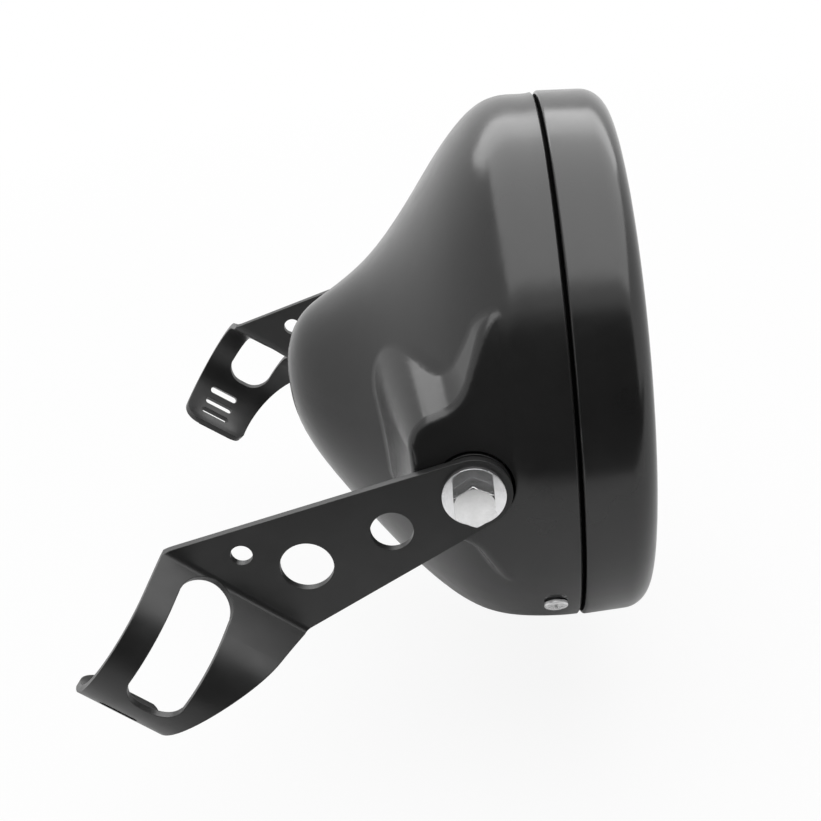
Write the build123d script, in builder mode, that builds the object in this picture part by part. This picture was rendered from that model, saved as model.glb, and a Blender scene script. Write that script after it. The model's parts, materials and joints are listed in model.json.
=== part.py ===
from build123d import *
import os
from math import cos, radians, sin, sqrt, tan

# Round motorcycle headlight on two folded side brackets, in millimetres.
# +X is the way the light shines, +Y the rider's left and +Z up.
# The origin is where the lamp's axis meets the line through the two side bolts.

os.makedirs("parts", exist_ok=True)

# Shell: a pressed bell, round at each station, scooped on top and full below.
# The radius at a station is given as its step in from the rim.
wall = 1.5
rim_radius = 90.0
seam_x = 31.0
rim_chamfer = 0.6
rim_start_x = 22.5
crown_x = 14.0
crown_step = 1.1
crown_drop = 0.5
shoulder_x = 4.0
shoulder_step = 5.7
shoulder_drop = 3.6
flank_x = -12.0
flank_step = 20.1
flank_drop = 9.4
waist_x = -30.0
waist_step = 40.0
waist_drop = 10.3
neck_x = -45.0
neck_step = 55.4
neck_drop = 5.2
dome_x = -55.5
dome_step = 67.8
dome_drop = 0.4
cap_x = -60.2
cap_radius = 11.0
cap_rise = 1.5
tail_x = -61.0
tail_radius = 4.0
tail_rise = 2.5
hem_width = 2.5

# Side ears of the shell, which carry the bolts and flare into the shoulder
ear_step = 2.0
ear_rise = 2.5
ear_rear_x = -17.0
ear_rear_half_height = 17.5
ear_knee_x = -1.0
ear_knee_half_height = 22.0
ear_flare_x = 10.5
ear_flare_half_height = 43.5
ear_front_x = 18.0
ear_overrun = 6.0
ear_corner = 9.0
ear_knee_round = 16.0
ear_edge_round = 4.0
ear_root_round = 6.0
ear_draft = 15.0
ear_depth = 55.0
seat_setback = 4.5
pad_clearance = 1.0

# Trim ring
seam_gap = 1.6
ring_proud = 0.4
ring_taper = 1.4
ring_front_x = 55.0
ring_corner = 9.0
ring_edge_round = 1.0
ring_sheet = 1.4
lip_width = 13.5
seam_depth = 4.0
skirt_sheet = 1.2
skirt_depth = 6.0
skirt_clearance = 0.3

# Lens, its seal and the reflector behind it
gasket_thickness = 1.5
gasket_width = 3.5
lens_rim_thickness = 3.0
lens_rise = 10.0
lens_glass = 3.0
reflector_sheet = 1.2
reflector_rim = 6.0
focal_length = 27.0
neck_bore_radius = 20.0
neck_length = 6.7
neck_sheet = 1.5
neck_lip_radius = 28.8
neck_lip_thickness = 1.2

# Bulb, its spring and its boot
bulb_flange_radius = 21.4
bulb_flange_thickness = 1.5
bulb_collar_radius = 11.0
bulb_collar_length = 10.0
bulb_glass_radius = 8.5
bulb_glass_length = 42.0
bulb_barrel_radius = 10.5
bulb_barrel_length = 10.0
blade_width = 8.0
blade_thickness = 0.8
blade_length = 10.0
blade_offset = 6.5
spring_wire_radius = 0.7
spring_half_width = 14.0
spring_half_length = 20.0
spring_bend = 6.0
boot_wall = 2.0
boot_depth = 12.0
boot_collar = 4.0
boot_fit = 0.2

# Clips that press the reflector into the ring
clip_count = 4
clip_first_angle = 45.0
clip_sheet = 0.8
clip_width = 12.0
clip_leg = 9.0
clip_reach = 9.0
clip_clearance = 0.9

# Screws, lugs and hook that hold the ring in the shell
screw_x = 22.6
screw_angle = 36.7
screw_radius = 2.0
screw_head_radius = 3.85
screw_head_height = 1.3
screw_head_round = 0.5
screw_length = 10.0
screw_hole_clearance = 0.2
recess_span = 4.4
recess_width = 1.1
recess_depth = 0.9
lug_width = 12.0
lug_sheet = 2.0
lug_rear_x = 17.0
lug_boss_radius = 4.0
lug_boss_height = 3.5
hook_width = 14.0
hook_sheet = 1.5
hook_rear_x = 19.0
tuck = 0.3

# Cable outlet under the tail
outlet_radius = 8.0
grommet_bore_radius = 4.0
grommet_flange_radius = 11.0
grommet_flange_thickness = 2.0
grommet_fit = 0.1
grommet_sag = 1.4

# Bolts and what is stacked on them
bolt_radius = 4.0
bolt_length = 20.0
bolt_head_flats = 12.0
bolt_head_height = 6.0
bolt_face_radius = 6.3
bolt_head_slope = 60.0
washer_radius = 9.5
washer_thickness = 1.6
spacer_radius = 11.4
spacer_rim = 1.8
spacer_boss_radius = 9.6
spacer_thickness = 3.0
hole_clearance = 0.25
nut_flats = 13.0
nut_height = 6.5

# Brackets: flat arm, outward fold, and a strap that goes round the fork tube
bracket_sheet = 2.5
arm_end_radius = 11.5
corner_x = -94.5
corner_z = -10.5
fold_angle = 40.25
fold_length = 50.6
fold_turn = 64.8
fold_radius = 3.5
leg_length = 15.3
fork_radius = 21.5
strap_grip = 153.9
strap_end_width = 27.5
strap_edge_across = 20.0
strap_edge_along = 37.5
strap_heel_round = 8.0
strap_foot_round = 4.0
medium_hole_x = -25.3
medium_hole_z = -10.1
medium_hole_radius = 6.5
large_hole_x = -52.1
large_hole_z = -19.8
large_hole_radius = 8.2
small_hole_x = -71.1
small_hole_z = -13.8
small_hole_radius = 3.4
window_edge = 9.2
window_width = 18.0
window_start = 1.0
window_end = 48.0
window_corner = 7.5
window_cuts = 3
slot_count = 3
slot_length = 12.6
slot_width = 2.8
slot_pitch = 5.8
slot_edge = 6.7
slot_end_gap = 7.6
left_arm_droop = 3.2


def bell_stations(inset):
    """Centre height and radius of the bell at each place along the lamp axis."""
    return [
        (tail_x + inset, tail_rise, tail_radius),
        (cap_x + inset, cap_rise, cap_radius),
        (dome_x + inset, -dome_drop, rim_radius - dome_step - inset / 2),
        (neck_x + inset, -neck_drop, rim_radius - neck_step - inset / 2),
        (waist_x + inset / 2, -waist_drop, rim_radius - waist_step - inset),
        (flank_x, -flank_drop, rim_radius - flank_step - inset * 1.4),
        (shoulder_x, -shoulder_drop, rim_radius - shoulder_step - inset * 1.2),
        (crown_x, -crown_drop, rim_radius - crown_step - inset),
        (rim_start_x, 0, rim_radius - inset),
        (seam_x, 0, rim_radius - inset),
    ]


def ear_outline(inset):
    """Corners of an ear seen from inside the lamp, heights downward, drawn in all round by inset."""
    profile = [
        (ear_rear_x + inset, ear_rear_half_height - inset),
        (ear_knee_x + inset / 2, ear_knee_half_height - inset),
        (ear_flare_x + inset, ear_flare_half_height - inset),
        (ear_front_x + ear_overrun, ear_flare_half_height - inset),
    ]
    lower = [(x, half - ear_rise) for x, half in profile]
    upper = [(x, -half - ear_rise) for x, half in reversed(profile)]
    return lower + upper


def facing_out(y):
    """Plane on the lamp's right, square to the bolts and facing away from the lamp."""
    return Plane.XZ.offset(y)


# Heights and places that follow from the sizes above
ear_radius = rim_radius - ear_step
ear_face_y = rim_radius - seat_setback
pad_radius = spacer_radius + pad_clearance
bracket_y = ear_face_y + spacer_thickness
washer_y = bracket_y + bracket_sheet
head_y = washer_y + washer_thickness
lip_back_x = ring_front_x - ring_sheet
lens_front_x = lip_back_x - gasket_thickness
lens_back_x = lens_front_x - lens_rim_thickness
flange_back_x = lens_back_x - reflector_sheet
ring_radius = rim_radius + ring_proud
band_start_x = seam_x + seam_gap
ring_opening_radius = rim_radius - lip_width
lens_rim_radius = ring_opening_radius + gasket_width
reflector_radius = lens_rim_radius - reflector_rim
skirt_radius = rim_radius - seam_depth
skirt_inner_radius = skirt_radius - skirt_sheet
screw_seat_radius = rim_radius + tuck

# Shell: ears and hollow first, then the bell that they belong to
with BuildPart() as ear:
    with BuildSketch(-facing_out(ear_radius)):
        with BuildLine():
            Polyline(*ear_outline(0), close=True)
        make_face()
        fillet(vertices().group_by(Axis.X)[0], ear_corner)
        fillet(vertices().filter_by_position(Axis.X, ear_knee_x - 0.1, ear_knee_x + 0.1), ear_knee_round)
        fillet(vertices().filter_by_position(Axis.X, ear_flare_x - 0.1, ear_flare_x + 0.1), ear_corner)
    extrude(amount=ear_depth, taper=-ear_draft)
    with BuildSketch(Plane.YZ.offset(ear_front_x)):
        Circle(ear_radius)
    extrude(amount=-rim_radius, mode=Mode.INTERSECT)
    ear_face = ear.faces().filter_by(GeomType.CYLINDER).sort_by(SortBy.AREA)[-1]
    fillet(ear_face.edges().sort_by(Axis.X)[:-1], ear_edge_round)

with BuildPart() as ear_space:
    with BuildSketch(-facing_out(ear_radius - wall)):
        with BuildLine():
            Polyline(*ear_outline(wall + ear_edge_round / 2), close=True)
        make_face()
        fillet(vertices().group_by(Axis.X)[0], ear_corner - wall)
    extrude(amount=ear_depth - wall, taper=-ear_draft)
    with BuildSketch(Plane.YZ.offset(ear_front_x)):
        Circle(ear_radius - wall)
    extrude(amount=-rim_radius, mode=Mode.INTERSECT)

with BuildPart() as hollow:
    for x, z, radius in bell_stations(wall):
        with BuildSketch(Plane((x, 0, z), x_dir=(0, 1, 1), z_dir=(1, 0, 0))):
            Circle(radius)
    loft()
    with BuildSketch(Plane.YZ.offset(seam_x)):
        Circle(rim_radius)
        Circle(skirt_radius + skirt_clearance, mode=Mode.SUBTRACT)
    extrude(amount=-hem_width, mode=Mode.SUBTRACT)
    add(ear_space.part)
    with BuildSketch(facing_out(ear_face_y - wall)):
        Circle(pad_radius + wall)
    extrude(amount=rim_radius, mode=Mode.SUBTRACT)
    mirror(about=Plane.XZ)

outlet_slope = (neck_step + waist_drop - waist_step - neck_drop) / (waist_x - neck_x)
outlet_point = Vector(waist_x, 0, waist_step - rim_radius - waist_drop)
outlet_plane = Plane(outlet_point, x_dir=(0, 1, 0), z_dir=(-outlet_slope, 0, -1))

with BuildPart() as shell:
    for x, z, radius in bell_stations(0):
        with BuildSketch(Plane((x, 0, z), x_dir=(0, 1, 1), z_dir=(1, 0, 0))):
            Circle(radius)
    loft()
    with BuildSketch(Plane.XZ):
        with BuildLine():
            Polyline(
                (seam_x - 2 * rim_chamfer, rim_radius + rim_chamfer),
                (seam_x + rim_chamfer, rim_radius + rim_chamfer),
                (seam_x + rim_chamfer, rim_radius - 2 * rim_chamfer),
                close=True,
            )
        make_face()
    revolve(axis=Axis.X, mode=Mode.SUBTRACT)
    for side_ear in (ear.part, mirror(ear.part, about=Plane.XZ, mode=Mode.PRIVATE)):
        plain = shell.part
        add(side_ear)
        fillet(new_edges(plain, side_ear, combined=shell.part), ear_root_round)
    for side_plane in (facing_out(ear_face_y), facing_out(-ear_face_y)):
        outward = 1 if side_plane.origin.Y < 0 else -1
        with BuildSketch(side_plane):
            Circle(pad_radius)
        extrude(amount=outward * rim_radius, mode=Mode.SUBTRACT)
    add(hollow.part, mode=Mode.SUBTRACT)
    with BuildSketch(Plane.XZ):
        Circle(bolt_radius + hole_clearance)
    extrude(amount=rim_radius, both=True, mode=Mode.SUBTRACT)
    for hand in (-1, 1):
        turn = radians(screw_angle)
        outward = (0, hand * cos(turn), -sin(turn))
        with BuildSketch(Plane((screw_x, 0, 0), x_dir=(1, 0, 0), z_dir=outward)):
            Circle(screw_radius + screw_hole_clearance)
        extrude(amount=ring_radius, mode=Mode.SUBTRACT)
    with BuildSketch(outlet_plane):
        Circle(outlet_radius)
    extrude(amount=outlet_radius, both=True, mode=Mode.SUBTRACT)
shell.part.label = "shell"
export_step(shell.part, "parts/shell.step")

# Trim ring: a rolled band with a front lip and a skirt that tucks into the shell
with BuildPart() as trim_ring:
    with BuildSketch(Plane.XZ):
        with BuildLine():
            Polyline(
                (seam_x - skirt_depth, skirt_inner_radius),
                (seam_x - skirt_depth, skirt_radius),
                (band_start_x, skirt_radius),
                (band_start_x, ring_radius),
                (ring_front_x, ring_radius - ring_taper),
                (ring_front_x, ring_opening_radius),
                (lip_back_x, ring_opening_radius),
                (lip_back_x, ring_radius - ring_taper - ring_sheet),
                (band_start_x + ring_sheet, ring_radius - ring_sheet),
                (band_start_x + ring_sheet, skirt_inner_radius),
                close=True,
            )
        make_face()
        corner_radius = ring_radius - ring_taper
        front_corner = vertices().sort_by_distance((ring_front_x, corner_radius))[0]
        fillet(front_corner, ring_corner)
        back_corner = vertices().sort_by_distance((lip_back_x, corner_radius - ring_sheet))[0]
        fillet(back_corner, ring_corner - ring_sheet)
        fillet(vertices().sort_by_distance((band_start_x, ring_radius))[0], ring_edge_round)
    revolve(axis=Axis.X)
trim_ring.part.label = "trim_ring"
export_step(trim_ring.part, "parts/trim_ring.step")

# Gasket between the ring's lip and the lens
with BuildPart() as lens_gasket:
    with BuildSketch(Plane.YZ.offset(lens_front_x)):
        Circle(lens_rim_radius)
        Circle(lens_rim_radius - gasket_width, mode=Mode.SUBTRACT)
    extrude(amount=gasket_thickness)
lens_gasket.part.label = "lens_gasket"
export_step(lens_gasket.part, "parts/lens_gasket.step")

# Lens: a pressed glass dome with a flat rim
dome_edge_radius = lens_rim_radius - gasket_width - lens_rim_thickness / 2
with BuildPart() as lens:
    with BuildSketch(Plane.XZ):
        with BuildLine():
            crest_x = lens_front_x + lens_rise
            outer = TangentArc((crest_x, 0), (lens_front_x, dome_edge_radius), tangent=(0, 1))
            inner = TangentArc(
                (crest_x - lens_glass, 0), (lens_back_x, dome_edge_radius), tangent=(0, 1)
            )
            Line(outer @ 0, inner @ 0)
            Polyline(
                inner @ 1,
                (lens_back_x, lens_rim_radius),
                (lens_front_x, lens_rim_radius),
                outer @ 1,
            )
        make_face()
    revolve(axis=Axis.X)
lens.part.label = "lens"
export_step(lens.part, "parts/lens.step")

# Reflector: a paraboloid with a rim for the lens and a neck for the bulb
bowl_depth = (reflector_radius**2 - neck_bore_radius**2) / (4 * focal_length)
neck_front_x = lens_back_x - bowl_depth
neck_back_x = neck_front_x - neck_length
bowl_control = (reflector_radius + neck_bore_radius) / 2
control_x = neck_front_x + (bowl_control - neck_bore_radius) * neck_bore_radius / (2 * focal_length)
with BuildPart() as reflector:
    with BuildSketch(Plane.XZ):
        with BuildLine():
            bowl = Bezier(
                (neck_front_x, neck_bore_radius),
                (control_x, bowl_control),
                (lens_back_x, reflector_radius),
            )
            Polyline(
                bowl @ 1,
                (lens_back_x, lens_rim_radius),
                (flange_back_x, lens_rim_radius),
                (flange_back_x, reflector_radius + reflector_sheet / 2),
            )
            back = Bezier(
                (flange_back_x, reflector_radius + reflector_sheet / 2),
                (control_x - reflector_sheet, bowl_control + reflector_sheet),
                (neck_front_x, neck_bore_radius + neck_sheet),
            )
            Polyline(
                back @ 1,
                (neck_back_x + neck_lip_thickness, neck_bore_radius + neck_sheet),
                (neck_back_x + neck_lip_thickness, neck_lip_radius),
                (neck_back_x, neck_lip_radius),
                (neck_back_x, neck_bore_radius),
                bowl @ 0,
            )
        make_face()
    revolve(axis=Axis.X)
reflector.part.label = "reflector"
export_step(reflector.part, "parts/reflector.step")

# Bulb base: flange on the neck, collar in front and barrel behind
flange_x = neck_back_x - bulb_flange_thickness
collar_x = neck_back_x + bulb_collar_length
barrel_x = flange_x - bulb_barrel_length
with BuildPart() as bulb_base:
    with BuildSketch(Plane.YZ.offset(flange_x)):
        Circle(bulb_flange_radius)
    extrude(amount=bulb_flange_thickness)
    with BuildSketch(Plane.YZ.offset(neck_back_x)):
        Circle(bulb_collar_radius)
    extrude(amount=bulb_collar_length)
    with BuildSketch(Plane.YZ.offset(barrel_x)):
        Circle(bulb_barrel_radius)
    extrude(amount=bulb_barrel_length)
bulb_base.part.label = "bulb_base"
export_step(bulb_base.part, "parts/bulb_base.step")

with BuildPart() as bulb_glass:
    with BuildSketch(Plane.YZ.offset(collar_x)):
        Circle(bulb_glass_radius)
    extrude(amount=bulb_glass_length)
    fillet(bulb_glass.edges().sort_by(Axis.X)[-1], bulb_glass_radius * 0.8)
bulb_glass.part.label = "bulb_glass"
export_step(bulb_glass.part, "parts/bulb_glass.step")

# Terminals: one blade across the top and one down each side
with BuildPart() as bulb_terminals:
    with BuildSketch(Plane.YZ.offset(barrel_x)):
        with Locations((0, blade_offset)):
            Rectangle(blade_width, blade_thickness)
        with Locations((-blade_offset, 0), (blade_offset, 0)):
            Rectangle(blade_thickness, blade_width)
    extrude(amount=-blade_length)
bulb_terminals.part.label = "bulb_terminals"
export_step(bulb_terminals.part, "parts/bulb_terminals.step")

# Wire spring across the back of the bulb's flange
spring_x = flange_x - spring_wire_radius
with BuildPart() as bulb_clip:
    with BuildLine() as spring_line:
        FilletPolyline(
            (spring_x, -spring_half_width, -spring_half_length),
            (spring_x, -spring_half_width, spring_half_length),
            (spring_x, spring_half_width, spring_half_length),
            (spring_x, spring_half_width, -spring_half_length),
            radius=spring_bend,
        )
    with BuildSketch(Plane(spring_line.line @ 0, z_dir=spring_line.line % 0)):
        Circle(spring_wire_radius)
    sweep()
bulb_clip.part.label = "bulb_clip"
export_step(bulb_clip.part, "parts/bulb_clip.step")

# Rubber boot from the neck's lip to the bulb's barrel
boot_inner_radius = neck_lip_radius + boot_fit
boot_hole_radius = bulb_barrel_radius + boot_fit
boot_front_x = neck_back_x + neck_lip_thickness
boot_back_x = neck_back_x - boot_depth
with BuildPart() as dust_boot:
    with BuildSketch(Plane.XZ):
        with BuildLine():
            Polyline(
                (boot_front_x, boot_inner_radius),
                (boot_front_x, boot_inner_radius + boot_wall),
                (neck_back_x - boot_collar, boot_inner_radius + boot_wall),
                (boot_back_x, boot_hole_radius + boot_wall),
                (boot_back_x, boot_hole_radius),
                (boot_back_x + boot_wall, boot_hole_radius),
                (neck_back_x - boot_collar, boot_inner_radius),
                close=True,
            )
        make_face()
    revolve(axis=Axis.X)
dust_boot.part.label = "dust_boot"
export_step(dust_boot.part, "parts/dust_boot.step")

# Spring clips: one leg along the ring's band, one foot on the reflector's rim
clip_outer_radius = ring_radius - ring_taper - ring_sheet - clip_clearance
with BuildPart() as retaining_clips:
    for place in PolarLocations(0, clip_count, clip_first_angle):
        around = Plane.XZ.rotated((place.orientation.Z, 0, 0))
        with BuildSketch(around):
            with BuildLine():
                Polyline(
                    (flange_back_x - clip_leg, clip_outer_radius),
                    (flange_back_x, clip_outer_radius),
                    (flange_back_x, clip_outer_radius - clip_reach),
                    (flange_back_x - clip_sheet, clip_outer_radius - clip_reach),
                    (flange_back_x - clip_sheet, clip_outer_radius - clip_sheet),
                    (flange_back_x - clip_leg, clip_outer_radius - clip_sheet),
                    close=True,
                )
            make_face()
        extrude(amount=clip_width / 2, both=True)
retaining_clips.part.label = "retaining_clips"
export_step(retaining_clips.part, "parts/retaining_clips.step")

# Ring lugs: tongues under the skirt, each with a threaded boss for its screw
lug_radius = sqrt(skirt_inner_radius**2 - (lug_width / 2) ** 2) - tuck
with BuildPart() as ring_lugs:
    for hand in (-1, 1):
        turn = radians(screw_angle)
        outward = (0, hand * cos(turn), -sin(turn))
        seat = Plane((0, 0, 0), x_dir=(1, 0, 0), z_dir=outward).offset(lug_radius)
        with BuildSketch(seat):
            with Locations(((lug_rear_x + seam_x) / 2, 0)):
                RectangleRounded(seam_x - lug_rear_x, lug_width, lug_boss_radius)
        extrude(amount=-lug_sheet)
        with BuildSketch(seat.offset(-lug_sheet)):
            with Locations((screw_x, 0)):
                Circle(lug_boss_radius)
        extrude(amount=-lug_boss_height)
        with BuildSketch(seat):
            with Locations((screw_x, 0)):
                Circle(screw_radius)
        extrude(amount=-lug_sheet - lug_boss_height, mode=Mode.SUBTRACT)
ring_lugs.part.label = "ring_lugs"
export_step(ring_lugs.part, "parts/ring_lugs.step")

# Ring screws: pan heads with a cross recess
with BuildPart() as ring_screws:
    for hand in (-1, 1):
        turn = radians(screw_angle)
        outward = (0, hand * cos(turn), -sin(turn))
        seat = Plane((screw_x, 0, 0), x_dir=(1, 0, 0), z_dir=outward).offset(screw_seat_radius)
        with BuildSketch(seat):
            Circle(screw_head_radius)
        extrude(amount=screw_head_height)
        crown = ring_screws.faces(Select.LAST).sort_by_distance(seat.offset(screw_head_height).origin)[0]
        fillet(crown.edges(), screw_head_round)
        with BuildSketch(seat):
            Circle(screw_radius)
        extrude(amount=-screw_length)
        with BuildSketch(seat.offset(screw_head_height)):
            Rectangle(recess_span, recess_width)
            Rectangle(recess_width, recess_span)
        extrude(amount=-recess_depth, mode=Mode.SUBTRACT)
ring_screws.part.label = "ring_screws"
export_step(ring_screws.part, "parts/ring_screws.step")

# Ring hook: a tongue at the top that catches behind the shell's rim
hook_radius = sqrt(skirt_inner_radius**2 - (hook_width / 2) ** 2) - tuck
hook_toe_radius = sqrt((rim_radius - wall) ** 2 - (hook_width / 2) ** 2) - tuck
with BuildPart() as ring_hook:
    with BuildSketch(Plane.XZ):
        with BuildLine():
            Polyline(
                (seam_x, hook_radius),
                (hook_rear_x + hook_sheet, hook_radius),
                (hook_rear_x + hook_sheet, hook_toe_radius),
                (hook_rear_x, hook_toe_radius),
                (hook_rear_x, hook_radius - hook_sheet),
                (seam_x, hook_radius - hook_sheet),
                close=True,
            )
        make_face()
    extrude(amount=hook_width / 2, both=True)
ring_hook.part.label = "ring_hook"
export_step(ring_hook.part, "parts/ring_hook.step")

# Grommet in the cable outlet
with BuildPart() as wire_grommet:
    with BuildSketch(outlet_plane.offset(tuck)):
        Circle(grommet_flange_radius)
    extrude(amount=grommet_flange_thickness)
    with BuildSketch(outlet_plane.offset(tuck)):
        Circle(outlet_radius - grommet_fit)
    extrude(amount=-tuck - wall - grommet_sag)
    with BuildSketch(outlet_plane.offset(-wall - grommet_sag)):
        Circle(grommet_flange_radius)
    extrude(amount=-grommet_flange_thickness)
    with BuildSketch(outlet_plane):
        Circle(grommet_bore_radius)
    extrude(amount=grommet_flange_radius, both=True, mode=Mode.SUBTRACT)
wire_grommet.part.label = "wire_grommet"
export_step(wire_grommet.part, "parts/wire_grommet.step")

# Bolts, washers, spacers and weld nuts, alike on both sides
for side in ("right", "left"):
    outward = Plane.XZ if side == "right" else -Plane.XZ

    with BuildPart() as bolt:
        with BuildSketch(outward.offset(head_y)):
            RegularPolygon(bolt_head_flats / 2, 6, major_radius=False, rotation=30)
        extrude(amount=bolt_head_height)
        with BuildSketch((-outward).offset(-head_y - bolt_head_height)):
            Circle(bolt_face_radius)
        extrude(amount=bolt_head_height, taper=-bolt_head_slope, mode=Mode.INTERSECT)
        with BuildSketch(outward.offset(head_y)):
            Circle(bolt_radius)
        extrude(amount=-bolt_length)
    bolt.part.label = f"{side}_bolt"
    export_step(bolt.part, f"parts/{side}_bolt.step")

    with BuildPart() as flat_washer:
        with BuildSketch(outward.offset(washer_y)):
            Circle(washer_radius)
            Circle(bolt_radius + hole_clearance, mode=Mode.SUBTRACT)
        extrude(amount=washer_thickness)
    flat_washer.part.label = f"{side}_flat_washer"
    export_step(flat_washer.part, f"parts/{side}_flat_washer.step")

    with BuildPart() as spacer:
        with BuildSketch(outward.offset(ear_face_y)):
            Circle(spacer_radius)
        extrude(amount=spacer_rim)
        with BuildSketch(outward.offset(ear_face_y)):
            Circle(spacer_boss_radius)
        extrude(amount=spacer_thickness)
        with BuildSketch(outward.offset(ear_face_y)):
            Circle(bolt_radius + hole_clearance)
        extrude(amount=spacer_thickness, mode=Mode.SUBTRACT)
    spacer.part.label = f"{side}_spacer"
    export_step(spacer.part, f"parts/{side}_spacer.step")

    with BuildPart() as weld_nut:
        with BuildSketch(outward.offset(ear_face_y - wall)):
            RegularPolygon(nut_flats / 2, 6, major_radius=False)
            Circle(bolt_radius, mode=Mode.SUBTRACT)
        extrude(amount=-nut_height)
    weld_nut.part.label = f"{side}_weld_nut"
    export_step(weld_nut.part, f"parts/{side}_weld_nut.step")

# Brackets: one folded sheet, drawn as its section along the fold and its side outline
turn = radians(fold_turn)
grip = radians(strap_grip)
along = Vector(cos(radians(fold_angle)), 0, -sin(radians(fold_angle)))
across = Vector(-sin(radians(fold_angle)), 0, -cos(radians(fold_angle)))
mid_y = bracket_y + bracket_sheet / 2
corner = Vector(corner_x, -mid_y, corner_z)
strap_radius = fork_radius + bracket_sheet / 2
fold_setback = fold_radius * tan(turn / 2)
section_plane = Plane(corner, x_dir=across, z_dir=along)
arm_back = across.dot(corner) + arm_end_radius
leg_end = Vector(leg_length * cos(turn), leg_length * sin(turn))
strap_centre = leg_end + Vector(sin(turn), -cos(turn)) * strap_radius
strap_length = leg_length + strap_radius * grip


def strap_plane(run, offset_along):
    """Plane on the strap's mid-surface, run from the fold and square to the sheet."""
    if run < leg_length:
        angle = turn
        reach = Vector(run * cos(turn), run * sin(turn))
    else:
        angle = turn - (run - leg_length) / strap_radius
        reach = strap_centre + Vector(-sin(angle), cos(angle)) * strap_radius
    spot = corner + across * reach.X + Vector(0, -1, 0) * reach.Y + along * offset_along
    normal = across * -sin(angle) + Vector(0, -1, 0) * cos(angle)
    return Plane(spot, x_dir=along, z_dir=normal)


def tangent_point(target_x, target_z, above):
    """Point where a line from the target touches the arm's round end."""
    distance = sqrt(target_x**2 + target_z**2)
    share = arm_end_radius / distance
    rise = sqrt(1 - share**2) * (1 if above else -1)
    unit_x = target_x / distance
    unit_z = target_z / distance
    x = arm_end_radius * (share * unit_x + rise * unit_z)
    z = arm_end_radius * (share * unit_z - rise * unit_x)
    return (x, z)


def side_point(run_across, run_along):
    """Place in the side view, measured from the fold's corner."""
    spot = corner + across * run_across + along * run_along
    return (spot.X, spot.Z)


strap_drop = strap_centre.X + strap_radius + bracket_sheet
lower_corner = side_point(0, fold_length)
strap_edge = side_point(strap_edge_across, strap_edge_along)
strap_foot = side_point(strap_drop, strap_end_width)
strap_heel = side_point(strap_drop, 0)
fold_corner = side_point(0, 0)

with BuildPart() as right_bracket:
    with BuildSketch(section_plane):
        with BuildLine():
            arm = Line((-arm_back, 0), (-fold_setback, 0))
            bend = JernArc(arm @ 1, arm % 1, fold_radius, -fold_turn)
            leg = Line(bend @ 1, (leg_end.X, -leg_end.Y))
            hoop = JernArc(leg @ 1, leg % 1, strap_radius, strap_grip)
        trace(line_width=bracket_sheet)
    extrude(amount=arm_back, both=True)
    with BuildSketch(Plane.XZ):
        with BuildLine():
            top = Line(fold_corner, tangent_point(*fold_corner, True))
            low = Line(tangent_point(*lower_corner, False), lower_corner)
            ThreePointArc(top @ 1, (arm_end_radius, 0), low @ 0)
            ThreePointArc(low @ 1, strap_edge, strap_foot)
            Polyline(strap_foot, strap_heel, top @ 0)
        make_face()
    extrude(amount=2 * bracket_y, mode=Mode.INTERSECT)
    with BuildSketch(facing_out(bracket_y)):
        Circle(bolt_radius + hole_clearance)
        with Locations((medium_hole_x, medium_hole_z)):
            Circle(medium_hole_radius)
        with Locations((large_hole_x, large_hole_z)):
            Circle(large_hole_radius)
        with Locations((small_hole_x, small_hole_z)):
            Circle(small_hole_radius)
    extrude(amount=bracket_sheet, mode=Mode.SUBTRACT)
    window_middle = window_edge + window_width / 2
    window_top = window_start + window_width / 2
    window_bottom = window_end - window_corner
    window_step = (window_bottom - window_top) / window_cuts
    with BuildSketch(strap_plane(window_top, window_middle)):
        Circle(window_width / 2)
    extrude(amount=3 * bracket_sheet, both=True, mode=Mode.SUBTRACT)
    for number in range(window_cuts):
        with BuildSketch(strap_plane(window_top + (number + 0.5) * window_step, window_middle)):
            Rectangle(window_width, window_step * 1.2)
        extrude(amount=3 * bracket_sheet, both=True, mode=Mode.SUBTRACT)
    with BuildSketch(strap_plane(window_bottom, window_middle)):
        RectangleRounded(window_width, 2 * window_corner, window_corner * 0.99)
    extrude(amount=3 * bracket_sheet, both=True, mode=Mode.SUBTRACT)
    with BuildSketch(strap_plane(strap_length - strap_heel_round, strap_heel_round)):
        Rectangle(2 * strap_heel_round, 2 * strap_heel_round, align=(Align.MAX, Align.MAX))
        Circle(strap_heel_round, mode=Mode.SUBTRACT)
    extrude(amount=2 * bracket_sheet, both=True, mode=Mode.SUBTRACT)
    with BuildSketch(strap_plane(strap_length - strap_foot_round, strap_end_width - strap_foot_round)):
        Rectangle(3 * strap_foot_round, 3 * strap_foot_round, align=(Align.MIN, Align.MAX))
        Circle(strap_foot_round, mode=Mode.SUBTRACT)
    extrude(amount=2 * bracket_sheet, both=True, mode=Mode.SUBTRACT)
    for number in range(slot_count):
        run = strap_length - slot_end_gap - number * slot_pitch
        with BuildSketch(strap_plane(run, slot_edge + slot_length / 2)):
            SlotOverall(slot_length, slot_width)
        extrude(amount=bracket_sheet, both=True, mode=Mode.SUBTRACT)
right_bracket.part.label = "right_bracket"
export_step(right_bracket.part, "parts/right_bracket.step")

with BuildPart() as left_bracket:
    add(right_bracket.part.mirror(Plane.XZ).rotate(Axis.Y, -left_arm_droop))
left_bracket.part.label = "left_bracket"
export_step(left_bracket.part, "parts/left_bracket.step")
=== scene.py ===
import json
from math import acos, cos, pi, sin, sqrt, tan

import bmesh
import bpy
from mathutils import Matrix, Vector


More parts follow.
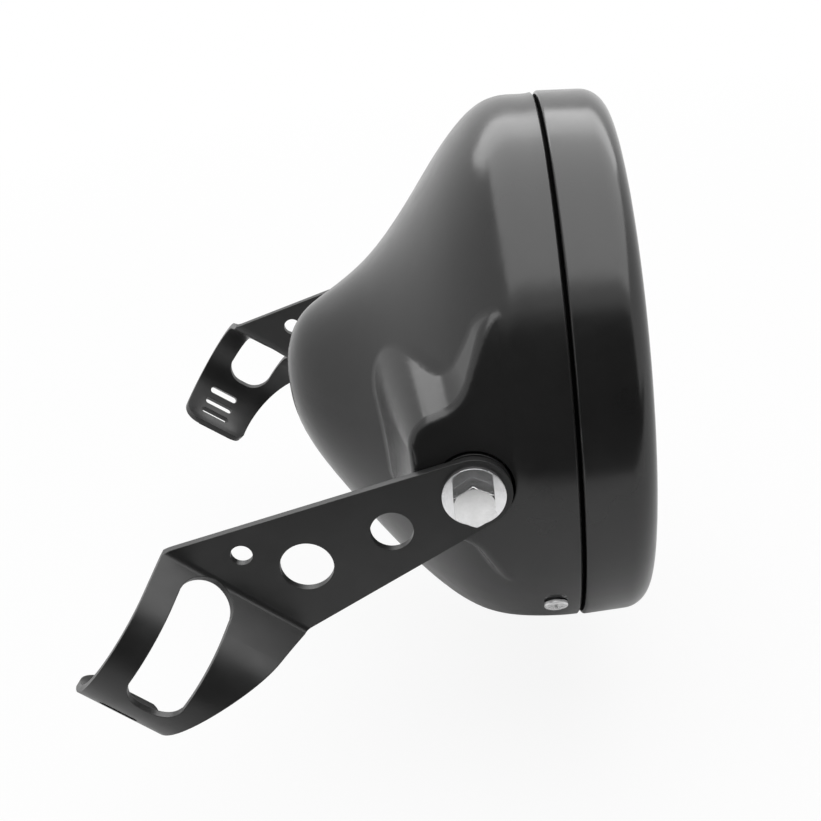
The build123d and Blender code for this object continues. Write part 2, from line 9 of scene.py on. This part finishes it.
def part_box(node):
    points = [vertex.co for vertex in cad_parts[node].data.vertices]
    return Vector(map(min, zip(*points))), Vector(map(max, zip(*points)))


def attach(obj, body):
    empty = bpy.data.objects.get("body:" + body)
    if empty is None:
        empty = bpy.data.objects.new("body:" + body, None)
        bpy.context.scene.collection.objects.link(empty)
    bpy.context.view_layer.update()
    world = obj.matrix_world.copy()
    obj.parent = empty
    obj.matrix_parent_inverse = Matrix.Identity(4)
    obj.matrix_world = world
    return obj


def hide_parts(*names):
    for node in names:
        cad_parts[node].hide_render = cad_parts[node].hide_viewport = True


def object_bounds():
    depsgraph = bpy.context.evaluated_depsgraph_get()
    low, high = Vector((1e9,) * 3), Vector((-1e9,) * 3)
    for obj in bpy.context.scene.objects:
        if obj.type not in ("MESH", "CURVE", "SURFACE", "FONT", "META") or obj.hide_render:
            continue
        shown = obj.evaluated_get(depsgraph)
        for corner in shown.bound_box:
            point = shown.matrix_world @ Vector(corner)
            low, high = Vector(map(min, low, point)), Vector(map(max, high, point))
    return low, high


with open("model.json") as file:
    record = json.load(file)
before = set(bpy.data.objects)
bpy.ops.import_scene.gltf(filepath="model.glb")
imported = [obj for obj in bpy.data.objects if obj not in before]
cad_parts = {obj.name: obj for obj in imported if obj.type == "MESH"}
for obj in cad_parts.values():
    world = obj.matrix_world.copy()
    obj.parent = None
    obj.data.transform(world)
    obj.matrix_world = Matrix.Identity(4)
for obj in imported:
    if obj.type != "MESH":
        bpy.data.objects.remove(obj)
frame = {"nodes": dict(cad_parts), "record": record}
cad_low, cad_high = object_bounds()
nodes = frame["nodes"]

# Camera: the photograph's viewpoint, in metres, in the lamp's own frame
CAMERA_PLACE = (0.003722, -0.441005, 0.207323)
CAMERA_RIGHT = (0.994426, 0.001193, -0.105431)
CAMERA_DOWN = (-0.093335, -0.455192, -0.885488)
CAMERA_AHEAD = (-0.049048, 0.890392, -0.452544)
SENSOR_MM = 36.0
FOCAL_MM = 60.79

# Stage
FLOOR_DROP = 0.036
FLOOR_SIZE = 12.0
FLOOR_COLOUR = (0.85, 0.85, 0.85, 1.0)
FLOOR_GLOW = 0.9
GLOW_START = 0.25
GLOW_END = 0.9
WORLD_FILL = 0.3
WHITE = (1.0, 1.0, 1.0, 1.0)
FLAG_GREY = 0.008
FLAG_LIFT = 0.001

# Surfaces
GLASS_IOR = 1.5
EDGE_SAMPLES = 4
EDGE_WORN_FULLY = 0.78
EDGE_WORN_FIRST = 0.99
METAL_EDGE = 0.0003
RUBBER_EDGE = 0.0004

# Trim ring, lens and bulb, in metres; their outer sizes come from the frame
SHARP_ANGLE = 0.5
RING_TURNS = 288
RING_ROUND_STEPS = 12
RING_TAPER = 0.0014
RING_SHEET = 0.0014
RING_CORNER = 0.009
RING_EDGE_ROUND = 0.001
RING_LIP_ROUND = RING_SHEET * 0.45
RING_OPENING = 0.0765
BAND_START_X = 0.0321
SKIRT_RADIUS = 0.086
SKIRT_SHEET = 0.0012
LENS_TURNS = 360
LENS_STEPS = 48
LENS_DOME_RADIUS = 0.075
LENS_GLASS = 0.003
FLUTE_PITCH = 0.0062
FLUTE_DEPTH = 0.0009
FLUTE_FADE = 0.006
BULB_WALL = 0.0009
BULB_TURNS = 48
BULB_ROUND_STEPS = 10
BULB_TIP_SHARE = 0.8
FILAMENT_RADIUS = 0.0008
FILAMENT_WIRE = 0.00012
FILAMENT_COILS = 9
FILAMENT_STEPS = 12
FILAMENT_START_SHARE = 0.45
FILAMENT_END_SHARE = 0.6
POST_SHARE = 0.4


def new_material(name):
    """A node material with a plain Principled shader."""
    material = bpy.data.materials.new(name)
    material.use_nodes = True
    tree = material.node_tree
    return material, tree, tree.nodes["Principled BSDF"]


def object_noise(tree, scale, detail=3.0, roughness=0.55):
    """Noise that is fixed to the piece, in object space."""
    place = tree.nodes.new("ShaderNodeTexCoord")
    noise = tree.nodes.new("ShaderNodeTexNoise")
    noise.inputs["Scale"].default_value = scale
    noise.inputs["Detail"].default_value = detail
    noise.inputs["Roughness"].default_value = roughness
    tree.links.new(place.outputs["Object"], noise.inputs["Vector"])
    return noise.outputs["Fac"]


def spread(tree, source, low, high, start=0.3, end=0.7):
    """Maps part of a value's range onto another range."""
    ramp = tree.nodes.new("ShaderNodeMapRange")
    ramp.inputs["From Min"].default_value = start
    ramp.inputs["From Max"].default_value = end
    ramp.inputs["To Min"].default_value = low
    ramp.inputs["To Max"].default_value = high
    tree.links.new(source, ramp.inputs["Value"])
    return ramp.outputs["Result"]


def maths(tree, operation, first, second):
    """One step of arithmetic on two values."""
    node = tree.nodes.new("ShaderNodeMath")
    node.operation = operation
    tree.links.new(first, node.inputs[0])
    tree.links.new(second, node.inputs[1])
    return node.outputs["Value"]


def tint(tree, source, dark, light, start=0.3, end=0.7):
    """Blends two colours by a value."""
    ramp = tree.nodes.new("ShaderNodeValToRGB")
    ramp.color_ramp.elements[0].position = start
    ramp.color_ramp.elements[1].position = end
    ramp.color_ramp.elements[0].color = dark
    ramp.color_ramp.elements[1].color = light
    tree.links.new(source, ramp.inputs["Fac"])
    return ramp.outputs["Color"]


def grey_tint(tree, source, grey, drift):
    """A neutral colour that drifts a little either way."""
    low = (grey * (1 - drift),) * 3 + (1,)
    high = (grey * (1 + drift),) * 3 + (1,)
    return tint(tree, source, low, high)


def finish_surface(tree, shader, height, strength, distance, edge):
    """Raises the surface by a value and softens its sharp edges."""
    rounding = tree.nodes.new("ShaderNodeBevel")
    rounding.samples = EDGE_SAMPLES
    rounding.inputs["Radius"].default_value = edge
    node = tree.nodes.new("ShaderNodeBump")
    node.inputs["Strength"].default_value = strength
    node.inputs["Distance"].default_value = distance
    tree.links.new(height, node.inputs["Height"])
    tree.links.new(rounding.outputs["Normal"], node.inputs["Normal"])
    tree.links.new(node.outputs["Normal"], shader.inputs["Normal"])
    return rounding.outputs["Normal"]


def edge_mask(tree, softened):
    """1 along sharp edges, 0 elsewhere, broken up by noise."""
    plain = tree.nodes.new("ShaderNodeNewGeometry")
    dot = tree.nodes.new("ShaderNodeVectorMath")
    dot.operation = "DOT_PRODUCT"
    tree.links.new(softened, dot.inputs[0])
    tree.links.new(plain.outputs["Normal"], dot.inputs[1])
    edges = spread(tree, dot.outputs["Value"], 1.0, 0.0, EDGE_WORN_FULLY, EDGE_WORN_FIRST)
    patches = spread(tree, object_noise(tree, scale=260.0), 0.25, 1.0)
    return maths(tree, "MULTIPLY", edges, patches)


def paint(name, grey, rough, specular, peel, edge, worn):
    """Black paint: slight colour drift, patchy gloss, fine orange peel, rubbed edges."""
    material, tree, shader = new_material(name)
    grain = object_noise(tree, scale=900.0, detail=2.0)
    softened = finish_surface(tree, shader, grain, strength=peel, distance=0.00005, edge=edge)
    rubbed = edge_mask(tree, softened)
    body = grey_tint(tree, object_noise(tree, scale=35.0), grey, drift=0.15)
    mix = tree.nodes.new("ShaderNodeMix")
    mix.data_type = "RGBA"
    mix.inputs["B"].default_value = (worn, worn, worn, 1)
    tree.links.new(rubbed, mix.inputs["Factor"])
    tree.links.new(body, mix.inputs["A"])
    tree.links.new(mix.outputs["Result"], shader.inputs["Base Color"])
    patch = object_noise(tree, scale=120.0, detail=5.0)
    tree.links.new(spread(tree, patch, *rough), shader.inputs["Roughness"])
    shader.inputs["Specular IOR Level"].default_value = specular
    return material


def metal(name, colour, rough, metallic=1.0, grain_scale=2600.0, grain=0.04):
    """Bare or plated metal with a fine, uneven polish."""
    material, tree, shader = new_material(name)
    shader.inputs["Metallic"].default_value = metallic
    low = tuple(c * 0.93 for c in colour) + (1,)
    high = tuple(min(c * 1.04, 1.0) for c in colour) + (1,)
    drift = object_noise(tree, scale=320.0)
    tree.links.new(tint(tree, drift, low, high), shader.inputs["Base Color"])
    patch = object_noise(tree, grain_scale, detail=4.0)
    tree.links.new(spread(tree, patch, *rough), shader.inputs["Roughness"])
    finish_surface(tree, shader, patch, strength=grain, distance=0.00002, edge=METAL_EDGE)
    return material


def rubber(name, grey):
    """Moulded rubber: matt, slightly blotched, with a fine skin."""
    material, tree, shader = new_material(name)
    blotches = object_noise(tree, scale=160.0)
    tree.links.new(grey_tint(tree, blotches, grey, drift=0.3), shader.inputs["Base Color"])
    skin = object_noise(tree, scale=1500.0)
    tree.links.new(spread(tree, skin, 0.55, 0.75), shader.inputs["Roughness"])
    finish_surface(tree, shader, skin, strength=0.15, distance=0.00005, edge=RUBBER_EDGE)
    return material


def glass(name, colour, rough, wave):
    """Clear glass with a faint ripple left by pressing."""
    material, tree, shader = new_material(name)
    shader.inputs["Base Color"].default_value = colour
    shader.inputs["IOR"].default_value = GLASS_IOR
    shader.inputs["Transmission Weight"].default_value = 1.0
    ripple = object_noise(tree, scale=90.0, detail=2.0)
    tree.links.new(spread(tree, ripple, *rough), shader.inputs["Roughness"])
    node = tree.nodes.new("ShaderNodeBump")
    node.inputs["Strength"].default_value = wave
    node.inputs["Distance"].default_value = 0.0002
    tree.links.new(ripple, node.inputs["Height"])
    tree.links.new(node.outputs["Normal"], shader.inputs["Normal"])
    return material


FINISHES = {
    "gloss_black": paint(
        "gloss_black_paint", 0.016, rough=(0.18, 0.25), specular=0.48, peel=0.04, edge=0.0005, worn=0.035
    ),
    "gloss_black_ring": paint(
        "gloss_black_ring_paint", 0.016, rough=(0.16, 0.23), specular=0.5, peel=0.04, edge=0.0004, worn=0.035
    ),
    "satin_black": paint(
        "satin_black_coat", 0.017, rough=(0.3, 0.4), specular=0.46, peel=0.1, edge=0.0005, worn=0.035
    ),
    "clear_glass": glass("lens_glass_clear", (0.96, 0.98, 0.98, 1), rough=(0.0, 0.02), wave=0.03),
    "bulb_quartz": glass("bulb_quartz_glass", (0.98, 0.98, 0.98, 1), rough=(0.0, 0.02), wave=0.02),
    "mirror_metal": metal(
        "reflector_mirror", (0.88, 0.89, 0.9), rough=(0.03, 0.07), grain_scale=300.0, grain=0.01
    ),
    "black_rubber": rubber("black_rubber_skin", grey=0.02),
    "spring_steel": metal("spring_steel_wire", (0.55, 0.55, 0.55), rough=(0.25, 0.38)),
    "bulb_metal": metal("bulb_cap_metal", (0.66, 0.66, 0.65), rough=(0.22, 0.35)),
    "bulb_brass": metal("terminal_brass", (0.72, 0.6, 0.34), rough=(0.2, 0.34)),
    "zinc_steel": metal("zinc_plate", (0.62, 0.63, 0.66), rough=(0.24, 0.4)),
    "screw_steel": metal("screw_plate", (0.92, 0.92, 0.92), rough=(0.14, 0.24), metallic=0.55),
    "bolt_steel": metal("bolt_plate", (0.88, 0.88, 0.88), rough=(0.1, 0.18), metallic=0.95),
    "washer_steel": metal("washer_plate", (0.9, 0.9, 0.91), rough=(0.1, 0.18), metallic=0.92),
}
# Painted shade: a near-black, matt paint on the ring's skirt that stands in for the shade in the seam
# between ring and shell
SEAM_SHADE = paint(
    "ring_skirt_painted_shade", 0.005, rough=(0.7, 0.85), specular=0.05, peel=0.1, edge=0.0003, worn=0.005
)

for entry in frame["record"]["subparts"]:
    piece = nodes[entry["node"]]
    piece.data.materials.clear()
    piece.data.materials.append(FINISHES[entry["material_slot"]])


def rounded(corners, steps):
    """Closed outline from (x, radius from the axis, rounding) corners."""
    points = []
    for index, (x, r, rounding) in enumerate(corners):
        here = Vector((x, r))
        if rounding == 0:
            points.append(here)
            continue
        before = Vector(corners[index - 1][:2]) - here
        after = Vector(corners[(index + 1) % len(corners)][:2]) - here
        before.normalize()
        after.normalize()
        opening = acos(before.dot(after))
        reach = rounding / tan(opening / 2)
        centre = here + (before + after).normalized() * rounding / sin(opening / 2)
        first = here + before * reach - centre
        last = here + after * reach - centre
        sweep = pi - opening
        for step in range(steps + 1):
            share = step / steps
            spoke = first * sin((1 - share) * sweep) + last * sin(share * sweep)
            points.append(centre + spoke / sin(sweep))
    return points


def lathe(name, outline, turns, closed, shift=None):
    """Mesh object from an outline turned about the lamp's axis; shift may move a point along it."""
    mesh = bmesh.new()
    rings = []
    for index, point in enumerate(outline):
        ring = []
        count = 1 if point.y == 0 else turns
        for turn in range(count):
            angle = 2 * pi * turn / turns
            y = point.y * cos(angle)
            z = point.y * sin(angle)
            x = point.x + (shift(index, y, z) if shift else 0.0)
            ring.append(mesh.verts.new((x, y, z)))
        rings.append(ring)
    pairs = list(zip(rings, rings[1:]))
    if closed:
        pairs.append((rings[-1], rings[0]))
    for ring, following in pairs:
        for turn in range(turns):
            ahead = (turn + 1) % turns
            loop = [ring[turn % len(ring)], ring[ahead % len(ring)]]
            loop += [following[ahead % len(following)], following[turn % len(following)]]
            mesh.faces.new(list(dict.fromkeys(loop)))
    bmesh.ops.recalc_face_normals(mesh, faces=mesh.faces)
    for face in mesh.faces:
        face.smooth = True
    for edge in mesh.edges:
        edge.smooth = edge.calc_face_angle(0.0) < SHARP_ANGLE
    data = bpy.data.meshes.new(name)
    mesh.to_mesh(data)
    mesh.free()
    piece = bpy.data.objects.new(name, data)
    bpy.context.scene.collection.objects.link(piece)
    return piece


def stand_for(piece, node, slot):
    """Puts a new piece in a CAD node's place on the lamp."""
    piece.data.materials.append(FINISHES[slot])
    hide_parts(node)
    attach(piece, "lamp")


# Trim ring: the same section as its solid, turned finely, with its skirt in the seam painted near black as
# painted shade
ring_low, ring_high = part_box("trim_ring")
ring_radius = ring_high.z
ring_front_x = ring_high.x
skirt_inner = SKIRT_RADIUS - SKIRT_SHEET
lip_back_x = ring_front_x - RING_SHEET
front_radius = ring_radius - RING_TAPER
ring_outline = rounded(
    [
        (ring_low.x, skirt_inner, 0),
        (ring_low.x, SKIRT_RADIUS, 0),
        (BAND_START_X, SKIRT_RADIUS, 0),
        (BAND_START_X, ring_radius, RING_EDGE_ROUND),
        (ring_front_x, front_radius, RING_CORNER),
        (ring_front_x, RING_OPENING, RING_LIP_ROUND),
        (lip_back_x, RING_OPENING, RING_LIP_ROUND),
        (lip_back_x, front_radius - RING_SHEET, RING_CORNER - RING_SHEET),
        (BAND_START_X + RING_SHEET, ring_radius - RING_SHEET, 0),
        (BAND_START_X + RING_SHEET, skirt_inner, 0),
    ],
    RING_ROUND_STEPS,
)
ring_skin = lathe("trim_ring_skin", ring_outline, RING_TURNS, closed=True)
stand_for(ring_skin, "trim_ring", "gloss_black_ring")
# Second material: the painted shade, given to the skirt's faces inside the seam
ring_skin.data.materials.append(SEAM_SHADE)
for face in ring_skin.data.polygons:
    reach = sqrt(face.center.y**2 + face.center.z**2)
    inside_seam = face.center.x <= BAND_START_X and reach < ring_radius - RING_EDGE_ROUND
    face.material_index = 1 if inside_seam else 0

# Lens: the same dome, with upright flutes pressed into its inner face
lens_low, lens_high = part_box("lens")
lens_front_x = lens_low.x + LENS_GLASS
lens_rise = lens_high.x - lens_front_x
dome_radius = (LENS_DOME_RADIUS**2 + lens_rise**2) / (2 * lens_rise)


def dome_x(crest_x, r):
    """Place along the axis of a dome's surface at a distance from the axis."""
    return crest_x - dome_radius + sqrt(dome_radius**2 - r**2)


reaches = [LENS_DOME_RADIUS * step / LENS_STEPS for step in range(LENS_STEPS + 1)]
outer_face = [Vector((dome_x(lens_high.x, r), r)) for r in reaches]
inner_face = [Vector((dome_x(lens_high.x - LENS_GLASS, r), r)) for r in reversed(reaches)]
lens_rim = [Vector((lens_front_x, lens_high.z)), Vector((lens_low.x, lens_high.z))]
inner_start = len(outer_face) + len(lens_rim)


def flute(index, y, z):
    """Depth of the flutes on the inner face, fading out towards the rim."""
    if index < inner_start:
        return 0.0
    room = (LENS_DOME_RADIUS - sqrt(y**2 + z**2)) / FLUTE_FADE
    return -FLUTE_DEPTH * abs(cos(pi * y / FLUTE_PITCH)) * min(room, 1.0)


lens_outline = outer_face + lens_rim + inner_face
lens_glass = lathe("lens_glass", lens_outline, LENS_TURNS, closed=False, shift=flute)
stand_for(lens_glass, "lens", "clear_glass")

# Bulb: a thin glass envelope with a coiled filament on two posts
bulb_low, bulb_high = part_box("bulb_glass")
bulb_radius = bulb_high.z
tip_round = bulb_radius * BULB_TIP_SHARE
envelope_outline = rounded(
    [
        (bulb_high.x, 0, 0),
        (bulb_high.x, bulb_radius, tip_round),
        (bulb_low.x, bulb_radius, 0),
        (bulb_low.x, bulb_radius - BULB_WALL, 0),
        (bulb_high.x - BULB_WALL, bulb_radius - BULB_WALL, tip_round - BULB_WALL),
        (bulb_high.x - BULB_WALL, 0, 0),
    ],
    BULB_ROUND_STEPS,
)
envelope = lathe("bulb_envelope", envelope_outline, BULB_TURNS, closed=False)
stand_for(envelope, "bulb_glass", "bulb_quartz")


def wire(name, points):
    """A round wire along a list of points."""
    curve = bpy.data.curves.new(name, "CURVE")
    curve.dimensions = "3D"
    curve.bevel_depth = FILAMENT_WIRE
    curve.use_fill_caps = True
    spline = curve.splines.new("POLY")
    spline.points.add(len(points) - 1)
    for spot, point in zip(spline.points, points):
        spot.co = (*point, 1)
    piece = bpy.data.objects.new(name, curve)
    bpy.context.scene.collection.objects.link(piece)
    curve.materials.append(FINISHES["bulb_metal"])
    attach(piece, "lamp")


bulb_length = bulb_high.x - bulb_low.x
coil_start = bulb_low.x + bulb_length * FILAMENT_START_SHARE
coil_end = bulb_low.x + bulb_length * FILAMENT_END_SHARE
post_offset = bulb_radius * POST_SHARE
coil_steps = FILAMENT_COILS * FILAMENT_STEPS
coil = []
for step in range(coil_steps + 1):
    angle = 2 * pi * step / FILAMENT_STEPS
    x = coil_start + (coil_end - coil_start) * step / coil_steps
    coil.append((x, FILAMENT_RADIUS * sin(angle), FILAMENT_RADIUS * cos(angle)))
rear_post = [(bulb_low.x, 0, -post_offset), (coil_start, 0, -post_offset), coil[0]]
front_post = [coil[-1], (coil_end, 0, post_offset), (bulb_low.x, 0, post_offset)]
wire("bulb_filament", rear_post + coil[1:-1] + front_post)


def ray_kinds(tree):
    """Two values: 1 for camera rays, and 1 for rays off gloss or through glass."""
    path = tree.nodes.new("ShaderNodeLightPath")
    gloss = path.outputs["Is Glossy Ray"]
    mirrored = maths(tree, "MAXIMUM", gloss, path.outputs["Is Transmission Ray"])
    return path.outputs["Is Camera Ray"], mirrored


# Floor: near white to the camera, with the object's shadow kept; far off it is white in gloss too
floor_z = cad_low.z - FLOOR_DROP
bpy.ops.mesh.primitive_plane_add(size=FLOOR_SIZE, location=(0, 0, floor_z))
floor = bpy.context.object
floor.name = "floor"
floor_material, tree, shader = new_material("pale_floor")
shader.inputs["Base Color"].default_value = FLOOR_COLOUR
shader.inputs["Roughness"].default_value = 0.9
shader.inputs["Specular IOR Level"].default_value = 0.1
place = tree.nodes.new("ShaderNodeTexCoord")
distance = tree.nodes.new("ShaderNodeVectorMath")
distance.operation = "LENGTH"
tree.links.new(place.outputs["Object"], distance.inputs[0])
glow = spread(tree, distance.outputs["Value"], FLOOR_GLOW, 1.0, GLOW_START, GLOW_END)
far_glow = spread(tree, distance.outputs["Value"], 0.0, 1.0, GLOW_START, GLOW_END)
seen, mirrored = ray_kinds(tree)
seen_glow = maths(tree, "MULTIPLY", seen, glow)
mirrored_glow = maths(tree, "MULTIPLY", mirrored, far_glow)
shine = tree.nodes.new("ShaderNodeEmission")
shine.inputs["Color"].default_value = WHITE
blend = tree.nodes.new("ShaderNodeMixShader")
tree.links.new(maths(tree, "MAXIMUM", seen_glow, mirrored_glow), blend.inputs["Fac"])
tree.links.new(shader.outputs["BSDF"], blend.inputs[1])
tree.links.new(shine.outputs["Emission"], blend.inputs[2])
tree.links.new(blend.outputs["Shader"], tree.nodes["Material Output"].inputs["Surface"])
floor.data.materials.append(floor_material)

# World: white to the camera, in mirrors and through glass, a plain fill otherwise
world = bpy.data.worlds.new("studio")
bpy.context.scene.world = world
world.use_nodes = True
tree = world.node_tree
backdrop = tree.nodes["Background"]
backdrop.inputs["Color"].default_value = WHITE
seen, mirrored = ray_kinds(tree)
level = spread(tree, maths(tree, "MAXIMUM", seen, mirrored), WORLD_FILL, 1.0, 0.0, 1.0)
tree.links.new(level, backdrop.inputs["Strength"])


def aimed(place, target):
    """Rotation that points an object's -Z at a target."""
    return (Vector(target) - Vector(place)).to_track_quat("-Z", "Y").to_euler()


def softbox(name, place, target, width, height, power, fills=True):
    """A large rectangular studio lamp, aimed at a point; without fill it shows in gloss only."""
    light = bpy.data.lights.new(name, "AREA")
    light.shape = "RECTANGLE"
    light.size = width
    light.size_y = height
    light.energy = power
    lamp = bpy.data.objects.new(name, light)
    bpy.context.scene.collection.objects.link(lamp)
    lamp.location = place
    lamp.rotation_euler = aimed(place, target)
    lamp.visible_camera = False
    lamp.visible_diffuse = fills


flag_cloth, tree, shader = new_material("flag_cloth")
weave = grey_tint(tree, object_noise(tree, scale=60.0), FLAG_GREY, drift=0.25)
tree.links.new(weave, shader.inputs["Base Color"])
shader.inputs["Roughness"].default_value = 0.95
shader.inputs["Specular IOR Level"].default_value = 0.0


def flag(name, place, target, width, height):
    """A black board that the gloss mirrors as a dark band."""
    bpy.ops.mesh.primitive_plane_add(size=1.0, location=place, rotation=aimed(place, target))
    board = bpy.context.object
    board.name = name
    board.scale = (width, height, 1.0)
    board.data.materials.append(flag_cloth)
    board.visible_camera = False
    board.visible_shadow = False
    board.visible_diffuse = False
    board.visible_transmission = False


# Lamps: one overhead for light and gloss, and two that only carry its reflection on
softbox("top_box", (0.05, 0.025, 1.4), (0.05, 0.025, 0), width=1.9, height=2.15, power=27.6)
softbox("front_box", (1.6, 0.025, 1.4), (1.6, 0.025, 0), width=1.2, height=2.15, power=17.4, fills=False)
softbox("back_box", (0.3, 1.3, 1.18), (0.3, 0, 0), width=3.0, height=0.62, power=19.0, fills=False)

# Flags: beside the camera and on the floor in front of it, for the dark band on the flank
flag("camera_flag", (0.0, -1.3, 0.5), (0, 0, 0.5), width=4.0, height=1.3)
flag("floor_flag", (0.0, -0.885, floor_z + FLAG_LIFT), (0, -0.885, -1), width=4.0, height=1.13)

camera = bpy.data.objects.new("camera", bpy.data.cameras.new("camera"))
bpy.context.scene.collection.objects.link(camera)
camera.data.sensor_width = SENSOR_MM
camera.data.lens = FOCAL_MM
camera.data.clip_start = 0.01
axes = Matrix((CAMERA_RIGHT, -Vector(CAMERA_DOWN), -Vector(CAMERA_AHEAD))).transposed()
camera.matrix_world = Matrix.Translation(CAMERA_PLACE) @ axes.to_4x4()
bpy.context.scene.camera = camera
bpy.context.scene.view_settings.view_transform = "Standard"
